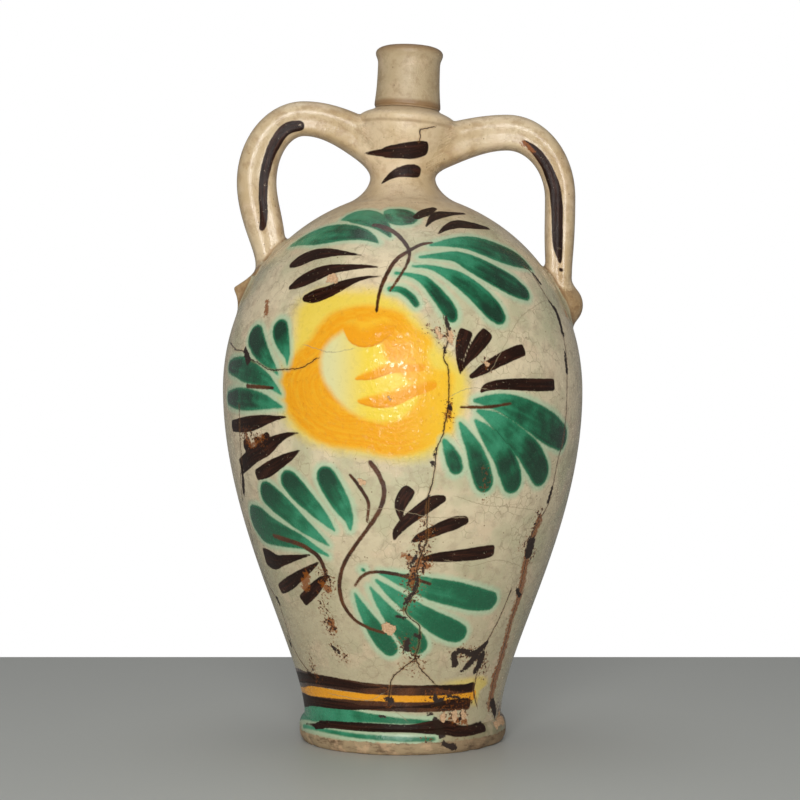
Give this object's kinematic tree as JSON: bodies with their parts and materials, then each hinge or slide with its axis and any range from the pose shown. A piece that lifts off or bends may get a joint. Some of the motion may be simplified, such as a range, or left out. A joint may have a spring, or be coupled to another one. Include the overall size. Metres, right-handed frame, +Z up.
{
  "type": "two-handled jug",
  "caption": "Tin-glazed earthenware jug for carrying and pouring liquids: ovoid body, ring foot, waisted neck, narrow tubular mouth and loop handles from neck to shoulder.",
  "frame": {"origin": "centre of the flat base, on the surface that the jug stands on", "axes": "+Z up through the mouth; the handles lie along X; the painted front faces -Y"},
  "size_m": [0.2096, 0.208, 0.4005],
  "materials": {
    "body_glaze": "glossy cream tin glaze with a green tint, brush-painted in green, brown-black and yellow, finely crazed and cracked",
    "neck_glaze": "warm cream tin glaze, worn at the lip and collar",
    "handle_glaze": "warm cream tin glaze, glossy, worn to the clay at the ends",
    "foot_clay": "glazed upper edge, bare chipped earthenware below"
  },
  "bodies": {
    "root": {"body": "body_glaze", "foot_ring": "foot_clay", "neck": "neck_glaze", "collar": "neck_glaze", "mouth_tube": "neck_glaze", "left_handle": "handle_glaze", "right_handle": "handle_glaze", "left_handle_nub": "handle_glaze", "right_handle_boss": "handle_glaze"}
  },
  "joints": []
}
